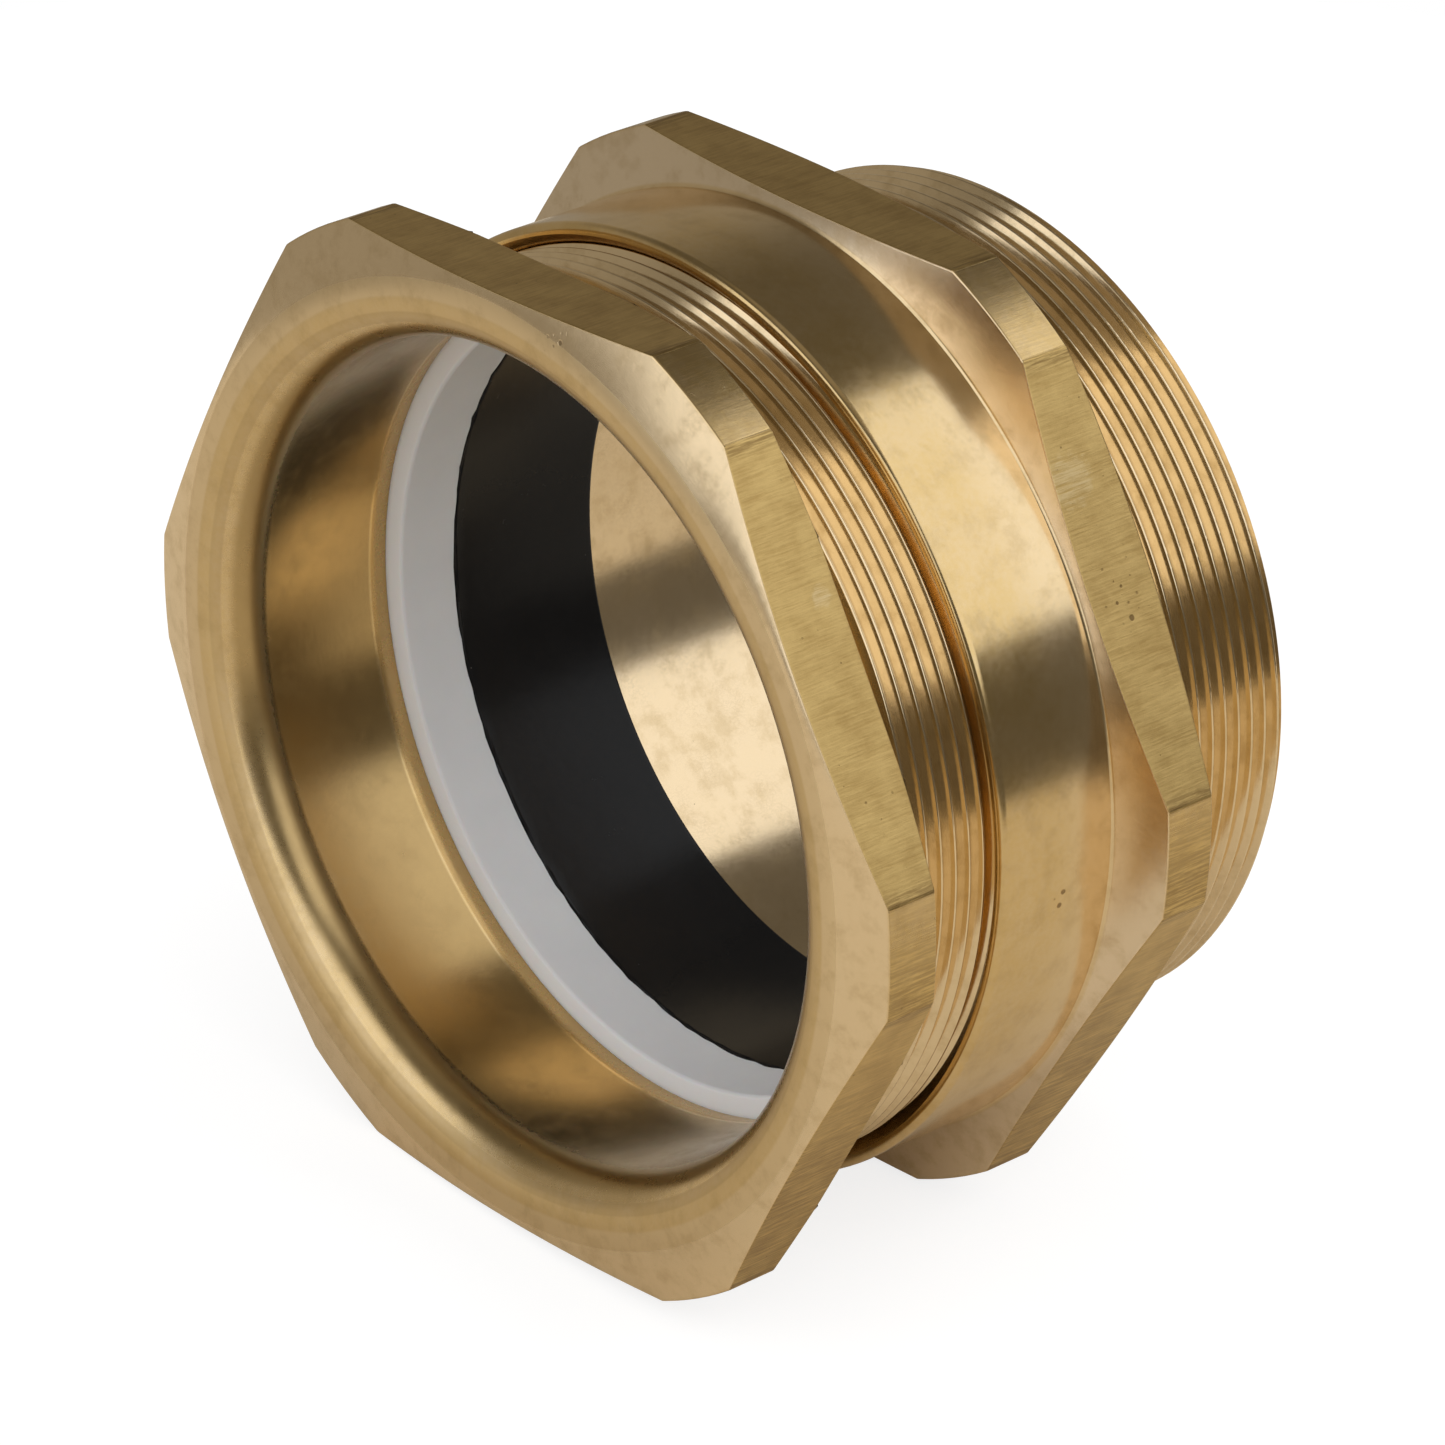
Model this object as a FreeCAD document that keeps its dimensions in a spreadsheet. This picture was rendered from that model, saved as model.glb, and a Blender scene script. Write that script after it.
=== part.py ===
import FreeCAD, Part
import math
import os
import Sketcher
from FreeCAD import Placement, Rotation, Vector

# A brass compression fitting that seals a round cable where it enters an enclosure.
# Millimetres and degrees. The fitting's axis is Y: the entry thread points to +Y and the cable
# mouth to -Y. The origin is the centre of the shoulder that seats on the panel, and +Z is the
# normal of one flat of the body's hexagon.
DIMENSIONS = {
    # Metric threads: both have the same pitch.
    "thread_pitch": 1.5,
    "thread_play": 0.15,
    "groove_air": 0.3,
    "entry_thread_radius": 37.5,
    "entry_thread_length": 16.4,
    "nut_thread_radius": 39.5,
    # Both hexagons have the same flats and are turned down across the corners. The cutter that
    # mills the flats sweeps out to the last of these.
    "flat_distance": 85.0,
    "corner_radius": 46.5,
    "milling_radius": 56.0,
    "face_angle": 15.0,
    # Entry body.
    "body_hex_width": 6.1,
    "shoulder_radius": 42.0,
    "shoulder_rise": 1.3,
    "band_radius": 41.4,
    "band_step": 0.25,
    "band_end": 19.5,
    "band_round": 0.7,
    "rim_chamfer": 1.6,
    "body_bore_radius": 33.5,
    "cavity_radius": 38.0,
    "cavity_end": 6.8,
    "seat_start": 0.6,
    "seat_angle": 40.0,
    # Nut.
    "nut_back": 30.5,
    "nut_hex_width": 5.7,
    "nut_back_radius": 43.5,
    "nut_back_rise": 0.8,
    "nut_face_radius": 41.7,
    "nut_bore_radius": 35.8,
    "nut_lip_radius": 4.25,
    "nut_end": 15.0,
    "washer_seat": 19.9,
    "lead_length": 2.0,
    "lead_rise": 0.5,
    "pocket_radius": 37.5,
    # Turned undercuts that the threads run out into, and the thread ends.
    "undercut_width": 2.0,
    "undercut_ramp": 0.6,
    "undercut_depth": 0.3,
    "end_chamfer": 0.8,
    # Washer and seal.
    "washer_length": 5.8,
    "washer_bore_radius": 34.2,
    "washer_radius": 37.3,
    "washer_edge": 0.3,
    "seal_radius": 37.8,
    "seal_mouth_radius": 34.1,
    "seal_nose_radius": 32.6,
    "seal_nose_end": 0.3,
    "nose_clearance": 0.2,
    "face_gap": 0.05,
}
# The nut is screwed in by a part of a turn that leaves its hexagon this far off the body's.
NUT_TURN = -2.2
# The band's groove starts this many turns from the nut's. The half puts it at the nut's crests.
MESHING_TURNS = 5.5

document = FreeCAD.newDocument("CompressionFitting")
sheet = document.addObject("Spreadsheet::Sheet", "Sizes")
for row, (alias, number) in enumerate(DIMENSIONS.items(), start=1):
    sheet.set(f"A{row}", alias)
    sheet.set(f"B{row}", str(number))
    sheet.setAlias(f"B{row}", alias)
document.recompute()


class Size:
    # A length worked out from the sheet: its number now, and the expression that keeps it current.
    def __init__(self, number, text):
        self.number = number
        self.text = text

    def __add__(self, other):
        other = as_size(other)
        return Size(self.number + other.number, f"({self.text} + {other.text})")

    def __sub__(self, other):
        other = as_size(other)
        return Size(self.number - other.number, f"({self.text} - {other.text})")

    def __mul__(self, factor):
        return Size(self.number * factor, f"({self.text} * {factor!r})")

    def __truediv__(self, divisor):
        return Size(self.number / divisor, f"({self.text} / {divisor!r})")

    def __neg__(self):
        return Size(-self.number, f"(0 - {self.text})")


def as_size(item):
    return item if isinstance(item, Size) else Size(float(item), repr(float(item)))


def size(alias):
    return Size(float(DIMENSIONS[alias]), f"Sizes.{alias}")


def rise_of(run, angle):
    # How far a slope at this angle, which the sheet holds in degrees, climbs over a run.
    factor = math.tan(math.radians(angle.number))
    return Size(run.number * factor, f"({run.text} * tan({angle.text} * 1deg))")


def run_of(rise, angle):
    # The run over which a slope at this angle climbs a rise.
    factor = math.tan(math.radians(angle.number))
    return Size(rise.number / factor, f"({rise.text} / tan({angle.text} * 1deg))")


def origin_plane(body, role):
    return next(plane for plane in body.Origin.OriginFeatures if plane.Role == role)


def arc_through(start, end, radius):
    # The arc under half a turn from start to end with its centre to the right of that direction,
    # which is inside an outline that runs clockwise. A sketch keeps its arcs anticlockwise, so it
    # is drawn from end to start.
    chord = end - start
    middle = start + chord * 0.5
    right = Vector(chord.y, -chord.x, 0).normalize()
    to_centre = math.sqrt(radius ** 2 - (chord.Length / 2) ** 2)
    centre = middle + right * to_centre
    crown = centre + (middle - centre).normalize() * radius
    return Part.ArcOfCircle(end, crown, start)


def add_outline(sketch, corners, arcs=None):
    # A closed outline. Each corner is bound to the sheet, and arcs maps a corner's number to the
    # radius of the edge that leaves it.
    arcs = arcs or {}
    first = sketch.GeometryCount
    spots = [Vector(x.number, y.number, 0) for x, y in corners]
    ends = []
    for number, start in enumerate(spots):
        end = spots[(number + 1) % len(spots)]
        if number in arcs:
            edge = arc_through(start, end, arcs[number].number)
        else:
            edge = Part.LineSegment(start, end)
        sketch.addGeometry(edge, False)
        forward = (edge.StartPoint - start).Length < (edge.EndPoint - start).Length
        ends.append((1, 2) if forward else (2, 1))
    for number, (x, y) in enumerate(corners):
        geometry = first + number
        following = (number + 1) % len(corners)
        link = (geometry, ends[number][1], first + following, ends[following][0])
        sketch.addConstraint(Sketcher.Constraint("Coincident", *link))
        for kind, place in (("DistanceX", x), ("DistanceY", y)):
            held = Sketcher.Constraint(kind, -1, 1, geometry, ends[number][0], place.number)
            index = sketch.addConstraint(held)
            sketch.setExpression(f"Constraints[{index}]", place.text)
    for number, radius in arcs.items():
        index = sketch.addConstraint(Sketcher.Constraint("Radius", first + number, radius.number))
        sketch.setExpression(f"Constraints[{index}]", radius.text)


def add_sketch(body, name, role):
    sketch = body.newObject("Sketcher::SketchObject", name)
    sketch.AttachmentSupport = [(origin_plane(body, role), "")]
    sketch.MapMode = "FlatFace"
    return sketch


def turned_body(name, corners, arcs=None):
    # A body of revolution about Y: the outline's corners are (radius, y).
    body = document.addObject("PartDesign::Body", name)
    sketch = add_sketch(body, f"{name}_profile", "XY_Plane")
    add_outline(sketch, corners, arcs)
    turned = body.newObject("PartDesign::Revolution", f"{name}_turned")
    turned.Profile = sketch
    turned.ReferenceAxis = (sketch, ["V_Axis"])
    turned.Angle = 360
    document.recompute()
    return body


def cut_hexagon(body, name):
    # Mills six flats: everything outside the hexagon goes, along the whole length.
    sketch = add_sketch(body, f"{name}_hexagon", "XZ_Plane")
    point_radius = size("flat_distance") / math.sqrt(3)
    turns = [math.radians(60 * number) for number in range(6)]
    add_outline(sketch, [(point_radius * math.cos(turn), point_radius * math.sin(turn)) for turn in turns])
    reach = size("milling_radius")
    circle = sketch.addGeometry(Part.Circle(Vector(0, 0, 0), Vector(0, 0, 1), reach.number), False)
    sketch.addConstraint(Sketcher.Constraint("Coincident", circle, 3, -1, 1))
    index = sketch.addConstraint(Sketcher.Constraint("Radius", circle, reach.number))
    sketch.setExpression(f"Constraints[{index}]", reach.text)
    before = body.Shape.Volume
    flats = body.newObject("PartDesign::Pocket", f"{name}_flats")
    flats.Profile = sketch
    flats.Type = "ThroughAll"
    flats.SideType = "Symmetric"
    document.recompute()
    assert body.Shape.Volume < before, f"{name}: the flats removed nothing"


def cut_thread(body, name, crest, bottom, mouth_width, start, length):
    # Cuts one right-hand V groove as a helix along +Y. It starts and ends clear of the metal, in
    # an undercut or past the thread's end.
    sketch = add_sketch(body, f"{name}_groove", "XY_Plane")
    outward = 1 if bottom.number < crest.number else -1
    depth = (crest - bottom) * outward
    bottom_width = mouth_width - depth * (2 * math.tan(math.radians(FLANK_ANGLE)))
    air = crest + size("groove_air") * outward
    sides = [(bottom, bottom_width), (crest, mouth_width), (air, mouth_width)]
    corners = [(radius, start - width / 2) for radius, width in sides]
    corners += [(radius, start + width / 2) for radius, width in reversed(sides)]
    add_outline(sketch, corners)
    before = body.Shape.Volume
    groove = body.newObject("PartDesign::SubtractiveHelix", f"{name}_thread")
    groove.Profile = sketch
    groove.ReferenceAxis = (sketch, ["V_Axis"])
    groove.Mode = "pitch-height-angle"
    groove.setExpression("Pitch", "Sizes.thread_pitch")
    groove.setExpression("Height", length.text)
    groove.LeftHanded = False
    groove.Reversed = False
    document.recompute()
    assert body.Shape.Volume < before, f"{name}: the thread removed nothing"


PITCH = size("thread_pitch")
# ISO metric proportions: each flank's lean, the height of an external and an internal thread,
# and the widths of their grooves at the crest.
FLANK_ANGLE = 30.0
EXTERNAL_DEPTH = PITCH * 0.6134
INTERNAL_DEPTH = PITCH * 0.5413
EXTERNAL_WIDTH = PITCH * 0.875
INTERNAL_WIDTH = PITCH * 0.75
UNDERCUT = size("undercut_width")
UNDERCUT_RAMP = size("undercut_ramp")
UNDERCUT_DEPTH = size("undercut_depth")
CHAMFER = size("end_chamfer")
NUT_GROOVE_START = -size("nut_back") + UNDERCUT / 2


def make_entry_body():
    thread = size("entry_thread_radius")
    relief = thread - EXTERNAL_DEPTH - UNDERCUT_DEPTH
    tip = size("entry_thread_length")
    shoulder = size("shoulder_radius")
    corner = size("corner_radius")
    band = size("band_radius")
    step = size("band_step")
    face_corner = -size("body_hex_width")
    face_end = face_corner - rise_of(corner - band - step, size("face_angle"))
    rim = -size("band_end")
    rim_round = size("band_round")
    groove_bottom = size("nut_thread_radius") + size("thread_play")
    crest = groove_bottom - INTERNAL_DEPTH
    internal_relief = groove_bottom + UNDERCUT_DEPTH
    rim_chamfer = size("rim_chamfer")
    cavity = size("cavity_radius")
    cavity_end = -size("cavity_end")
    bore = size("body_bore_radius")
    seat = size("seat_start")
    corners = [
        (bore, tip),
        (thread - CHAMFER, tip),
        (thread, tip - CHAMFER),
        (thread, UNDERCUT + UNDERCUT_RAMP),
        (relief, UNDERCUT),
        (relief, as_size(0)),
        (shoulder, as_size(0)),
        (corner, -size("shoulder_rise")),
        (corner, face_corner),
        (band + step, face_end),
        (band, face_end - step),
        (band, rim + rim_round),
        (band - rim_round, rim),
        (crest + rim_chamfer, rim),
        (crest, rim + rim_chamfer),
        (crest, cavity_end - UNDERCUT),
        (internal_relief, cavity_end - UNDERCUT),
        (internal_relief, cavity_end),
        (cavity, cavity_end),
        (cavity, seat - run_of(cavity - bore, size("seat_angle"))),
        (bore, seat),
    ]
    body = turned_body("entry_body", corners, {11: rim_round})
    cut_hexagon(body, "body")
    start = UNDERCUT / 2
    length = tip + PITCH - start
    cut_thread(body, "entry", thread, thread - EXTERNAL_DEPTH, EXTERNAL_WIDTH, start, length)
    start = NUT_GROOVE_START + PITCH * MESHING_TURNS
    length = cavity_end - UNDERCUT / 2 - start
    cut_thread(body, "band", crest, groove_bottom, INTERNAL_WIDTH, start, length)
    return body


def make_outer_seal_nut():
    thread = size("nut_thread_radius")
    root = thread - EXTERNAL_DEPTH
    relief = root - UNDERCUT_DEPTH
    corner = size("corner_radius")
    back = -size("nut_back")
    end = -size("nut_end")
    seat = -size("washer_seat")
    bore = size("nut_bore_radius")
    lip = size("nut_lip_radius")
    face = size("nut_face_radius")
    face_corner = back - size("nut_hex_width")
    face_y = face_corner - rise_of(corner - face, size("face_angle"))
    corners = [
        (thread - CHAMFER, end),
        (thread, end - CHAMFER),
        (thread, back + UNDERCUT + UNDERCUT_RAMP),
        (relief, back + UNDERCUT),
        (relief, back),
        (size("nut_back_radius"), back),
        (corner, back - size("nut_back_rise")),
        (corner, face_corner),
        (face, face_y),
        (bore + lip, face_y),
        (bore, face_y + lip),
        (bore, seat - size("lead_length")),
        (bore + size("lead_rise"), seat),
        (size("pocket_radius"), seat),
        (size("pocket_radius"), end),
    ]
    body = turned_body("outer_seal_nut", corners, {9: lip})
    cut_hexagon(body, "nut")
    length = end + PITCH - NUT_GROOVE_START
    cut_thread(body, "nut", thread, root, EXTERNAL_WIDTH, NUT_GROOVE_START, length)
    body.Placement = Placement(Vector(0, 0, 0), Rotation(Vector(0, 1, 0), NUT_TURN))
    return body


def make_skid_washer():
    front = size("face_gap") - size("washer_seat")
    back = front + size("washer_length")
    bore = size("washer_bore_radius")
    rim = size("washer_radius")
    edge = size("washer_edge")
    corners = [
        (bore + edge, front),
        (rim - edge, front),
        (rim, front + edge),
        (rim, back),
        (bore, back),
        (bore, front + edge),
    ]
    return turned_body("skid_washer", corners)


def make_outer_seal():
    front = size("face_gap") * 2 - size("washer_seat") + size("washer_length")
    nose = size("seal_nose_end")
    rim = size("seal_radius")
    # The nose's cone runs beside the body's seat, a little inside it.
    angle = size("seat_angle")
    seat_at_nose = size("body_bore_radius") + rise_of(size("seat_start") - nose, angle)
    nose_outer = seat_at_nose - size("nose_clearance")
    cone_start = nose - run_of(rim - nose_outer, angle)
    corners = [
        (size("seal_mouth_radius"), front),
        (rim, front),
        (rim, cone_start),
        (nose_outer, nose),
        (size("seal_nose_radius"), nose),
    ]
    return turned_body("outer_seal", corners)


sub_parts = [make_entry_body(), make_outer_seal(), make_skid_washer(), make_outer_seal_nut()]
document.recompute()

for item in document.Objects:
    assert not {"Invalid", "Error"} & set(item.State), f"{item.Name}: {item.State}"
os.makedirs("parts", exist_ok=True)
for sub_part in sub_parts:
    sub_part.Label = sub_part.Name
    shape = sub_part.Shape
    assert not shape.isNull() and shape.isValid(), f"{sub_part.Label} is not a valid solid"
    assert len(shape.Solids) == 1, f"{sub_part.Label} has {len(shape.Solids)} solids"
    box = shape.BoundBox
    print(sub_part.Label, f"{shape.Volume:.1f} mm3,", f"y {box.YMin:.2f} to {box.YMax:.2f}")
    shape.exportStep(f"parts/{sub_part.Label}.step")
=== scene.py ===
import math
import bpy
from mathutils import Matrix, Vector


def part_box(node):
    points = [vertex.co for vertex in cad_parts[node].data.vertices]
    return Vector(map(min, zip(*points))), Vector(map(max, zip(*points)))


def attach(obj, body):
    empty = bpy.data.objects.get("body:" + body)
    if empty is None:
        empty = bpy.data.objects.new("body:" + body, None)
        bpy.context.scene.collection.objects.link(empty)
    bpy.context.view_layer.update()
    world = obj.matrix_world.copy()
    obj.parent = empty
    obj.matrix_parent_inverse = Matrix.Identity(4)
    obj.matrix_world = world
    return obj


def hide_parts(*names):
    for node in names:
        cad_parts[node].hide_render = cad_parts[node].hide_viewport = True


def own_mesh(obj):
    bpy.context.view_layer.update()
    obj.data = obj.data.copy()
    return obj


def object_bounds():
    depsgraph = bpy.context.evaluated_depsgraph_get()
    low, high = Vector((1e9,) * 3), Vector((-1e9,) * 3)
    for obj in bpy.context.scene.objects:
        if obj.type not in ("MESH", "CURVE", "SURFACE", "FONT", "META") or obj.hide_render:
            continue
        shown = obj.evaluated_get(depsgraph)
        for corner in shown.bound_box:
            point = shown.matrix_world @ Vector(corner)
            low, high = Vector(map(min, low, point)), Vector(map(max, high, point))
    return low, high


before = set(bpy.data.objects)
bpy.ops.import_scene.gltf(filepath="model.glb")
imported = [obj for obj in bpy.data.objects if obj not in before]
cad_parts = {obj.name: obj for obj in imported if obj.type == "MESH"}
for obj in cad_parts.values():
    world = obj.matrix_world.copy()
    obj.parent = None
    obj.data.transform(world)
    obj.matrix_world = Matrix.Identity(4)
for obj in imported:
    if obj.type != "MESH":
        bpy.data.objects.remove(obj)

# A brass compression gland, lying on one flat of its body's hexagon. Its axis is Y: the entry
# thread points to +Y and the cable mouth to -Y. The dictionaries hold millimetres and degrees,
# and the meshes are in metres.
mm = 0.001
sameCorner = 0.002 * mm     # corners nearer than this are merged
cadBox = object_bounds()
print("frame loaded")


# the camera
view = {
    "place": (382.4, -353.4, 268.7),
    "forward": (-0.6591, 0.5872, -0.4698),
    "up": (-0.3657, 0.2957, 0.8825),
    "lens": 172.07,
    "sensor": 36.0,
    "nearest": 0.01,        # metres
}


def aimCamera():
    camera = bpy.data.objects.new("camera", bpy.data.cameras.new("camera"))
    bpy.context.scene.collection.objects.link(camera)
    bpy.context.scene.camera = camera
    forward = Vector(view["forward"]).normalized()
    up = Vector(view["up"])
    up = (up - forward * up.dot(forward)).normalized()
    turn = Matrix((forward.cross(up), up, -forward)).transposed().to_4x4()
    turn.translation = Vector(view["place"]) * mm
    camera.matrix_world = turn
    camera.data.lens = view["lens"]
    camera.data.sensor_width = view["sensor"]
    camera.data.clip_start = view["nearest"]


aimCamera()
print("camera aimed")


# what every piece uses
hexagon = {
    "flatDistance": 42.5,   # from the axis to a flat
    "cornerRadius": 46.5,   # the bar's corners are turned down to this
    "firstFlat": 30.0,      # direction of one flat, from +X towards +Z
    "edgeBreak": 0.17,      # how wide the sharp edges are broken
    "breakBeyond": 41.9,    # only where they are farther than this from the axis
    "smoothUpTo": 35.0,     # edges that turn less than this are shaded smooth
}
thread = {
    "pitch": 1.5,
    "flank": 30.0,          # each flank's lean
    "crestBreak": 0.045,    # how far each crest's corners are dulled
    "air": 0.3,             # how far the cutter stands out of the metal
    "cornersPerTurn": 192,
}


def deselect():
    bpy.ops.object.select_all(action="DESELECT")


def pick(piece):
    deselect()
    piece.select_set(True)
    bpy.context.view_layer.objects.active = piece


def arc(centre, radius, start, end, steps):
    # corners along an arc, from one direction to another, both in degrees
    turns = [math.radians(start + (end - start) * step / steps) for step in range(steps + 1)]
    return [(centre[0] + radius * math.cos(t), centre[1] + radius * math.sin(t)) for t in turns]


def turnedPiece(name, outline, around=192):
    # A circle is drawn along the outline ring by ring, as on a lathe, until it meets itself.
    deselect()
    radius, along = outline[0]
    bpy.ops.mesh.primitive_circle_add(
        vertices=around, radius=radius * mm, location=(0, along * mm, 0), rotation=(math.radians(90), 0, 0)
    )
    piece = bpy.context.object
    piece.name = name
    piece.data.name = name
    bpy.ops.object.transform_apply(location=True, rotation=True, scale=True)
    bpy.ops.object.mode_set(mode="EDIT")
    bpy.ops.mesh.select_all(action="SELECT")
    for nextRadius, nextAlong in outline[1:] + outline[:1]:
        step = (0, (nextAlong - along) * mm, 0)
        bpy.ops.mesh.extrude_region_move(TRANSFORM_OT_translate={"value": step})
        growth = nextRadius / radius
        bpy.ops.transform.resize(value=(growth, 1, growth), center_override=(0, nextAlong * mm, 0))
        radius, along = nextRadius, nextAlong
    bpy.ops.mesh.select_all(action="SELECT")
    bpy.ops.mesh.remove_doubles(threshold=sameCorner)
    bpy.ops.mesh.normals_make_consistent(inside=False)
    bpy.ops.object.mode_set(mode="OBJECT")
    return piece


def millFlats(piece):
    # cuts six flats, and closes each cut
    for number in range(6):
        turn = math.radians(hexagon["firstFlat"] + 60 * number)
        outward = Vector((math.cos(turn), 0, math.sin(turn)))
        pick(piece)
        bpy.ops.object.mode_set(mode="EDIT")
        bpy.ops.mesh.select_all(action="SELECT")
        bpy.ops.mesh.bisect(
            plane_co=outward * hexagon["flatDistance"] * mm, plane_no=outward, use_fill=True, clear_outer=True
        )
        bpy.ops.object.mode_set(mode="OBJECT")


def breakEdges(piece, sharpness=12.0, segments=2):
    # bevels the hexagon's sharp edges
    beyond = hexagon["breakBeyond"] * mm
    pick(piece)
    bpy.ops.object.mode_set(mode="EDIT")
    bpy.ops.mesh.select_mode(type="EDGE")
    bpy.ops.mesh.select_all(action="DESELECT")
    bpy.ops.mesh.edges_select_sharp(sharpness=math.radians(sharpness))
    bpy.ops.object.mode_set(mode="OBJECT")
    corners = piece.data.vertices
    for edge in piece.data.edges:
        ends = [corners[number].co for number in edge.vertices]
        edge.select = edge.select and all(math.hypot(p.x, p.z) > beyond for p in ends)
    bpy.ops.object.mode_set(mode="EDIT")
    width = hexagon["edgeBreak"] * mm
    bpy.ops.mesh.bevel(offset=width, segments=segments, profile=0.5, affect="EDGES", clamp_overlap=False)
    bpy.ops.mesh.select_mode(type="VERT")
    bpy.ops.object.mode_set(mode="OBJECT")


def ruffle(piece, radius, between, amount, seed=7):
    # jogs the corners inside a radius and between two places along the axis, for a ragged edge
    pick(piece)
    low, high = between
    bpy.ops.object.mode_set(mode="EDIT")
    bpy.ops.mesh.select_mode(type="VERT")
    bpy.ops.mesh.select_all(action="DESELECT")
    bpy.ops.object.mode_set(mode="OBJECT")
    for corner in piece.data.vertices:
        place = corner.co
        corner.select = math.hypot(place.x, place.z) < radius * mm and low * mm < place.y < high * mm
    bpy.ops.object.mode_set(mode="EDIT")
    bpy.ops.transform.vertex_random(offset=amount * mm, uniform=0.0, normal=0.0, seed=seed)
    bpy.ops.object.mode_set(mode="OBJECT")


def cutThread(piece, crest, depth, mouth, start, end):
    # Cuts a right-hand V groove from one place along the axis to another. depth is below zero
    # where the groove is in a hole's wall, and goes outwards.
    outward = 1 if depth > 0 else -1
    lean = math.tan(math.radians(thread["flank"]))
    dulled = thread["crestBreak"]
    halfBottom = mouth / 2 - abs(depth) * lean
    side = [
        (crest - depth, halfBottom),
        (crest - dulled * outward, mouth / 2 - dulled * lean),
        (crest, mouth / 2 + dulled),
        (crest + thread["air"] * outward, mouth / 2 + dulled),
    ]
    section = side + [(radius, -half) for radius, half in reversed(side)]
    deselect()
    bpy.ops.mesh.primitive_circle_add(vertices=len(section), radius=mm)
    cutter = bpy.context.object
    for corner, (radius, offset) in zip(cutter.data.vertices, section):
        corner.co = (radius * mm, (start + offset) * mm, 0)
    turns = (end - start) / thread["pitch"]
    screw = cutter.modifiers.new("helix", "SCREW")
    screw.axis = "Y"
    screw.angle = math.tau * turns
    screw.screw_offset = (end - start) * mm
    screw.steps = round(thread["cornersPerTurn"] * turns)
    screw.render_steps = screw.steps
    screw.use_merge_vertices = False
    pick(cutter)
    bpy.ops.object.modifier_apply(modifier="helix")
    bpy.ops.object.mode_set(mode="EDIT")
    bpy.ops.mesh.select_all(action="SELECT")
    bpy.ops.mesh.fill_holes(sides=0)
    bpy.ops.mesh.select_all(action="SELECT")
    bpy.ops.mesh.normals_make_consistent(inside=False)
    bpy.ops.object.mode_set(mode="OBJECT")
    groove = piece.modifiers.new("groove", "BOOLEAN")
    groove.operation = "DIFFERENCE"
    groove.solver = "MANIFOLD"
    groove.object = cutter
    pick(piece)
    bpy.ops.object.modifier_apply(modifier="groove")
    bpy.data.objects.remove(cutter)
    pick(piece)
    bpy.ops.object.mode_set(mode="EDIT")
    bpy.ops.mesh.select_all(action="SELECT")
    bpy.ops.mesh.remove_doubles(threshold=sameCorner / 2)
    bpy.ops.mesh.dissolve_degenerate(threshold=sameCorner / 2)
    bpy.ops.object.mode_set(mode="OBJECT")


def shade(piece):
    # smooth over the bevels, with the broad faces setting the normals
    pick(piece)
    bpy.ops.object.shade_smooth_by_angle(angle=math.radians(hexagon["smoothUpTo"]))
    weights = piece.modifiers.new("weights", "WEIGHTED_NORMAL")
    weights.keep_sharp = True
    bpy.ops.object.modifier_apply(modifier="weights")


class Wire:
    # one shader socket; an expression written with it becomes Math nodes
    def __init__(self, web, socket):
        self.web = web
        self.socket = socket

    def __add__(self, other):
        return self.web.maths("ADD", self, other)

    def __sub__(self, other):
        return self.web.maths("SUBTRACT", self, other)

    def __rsub__(self, other):
        return self.web.maths("SUBTRACT", other, self)

    def __mul__(self, other):
        return self.web.maths("MULTIPLY", self, other)

    def __truediv__(self, other):
        return self.web.maths("DIVIDE", self, other)

    __radd__ = __add__
    __rmul__ = __mul__


class Web:
    # a material's or the world's nodes, and how more are added
    def __init__(self, tree):
        self.nodes = tree.nodes
        self.links = tree.links

    def add(self, kind, settings, inputs, output=0):
        node = self.nodes.new(kind)
        for name, value in settings.items():
            setattr(node, name, value)
        for name, value in inputs.items():
            if isinstance(value, Wire):
                self.links.new(value.socket, node.inputs[name])
            else:
                node.inputs[name].default_value = value
        return Wire(self, node.outputs[output])

    def maths(self, operation, *values):
        return self.add("ShaderNodeMath", {"operation": operation}, dict(enumerate(values)))

    def end(self, wire, node, words):
        self.links.new(wire.socket, self.nodes[node].inputs[words])


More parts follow.
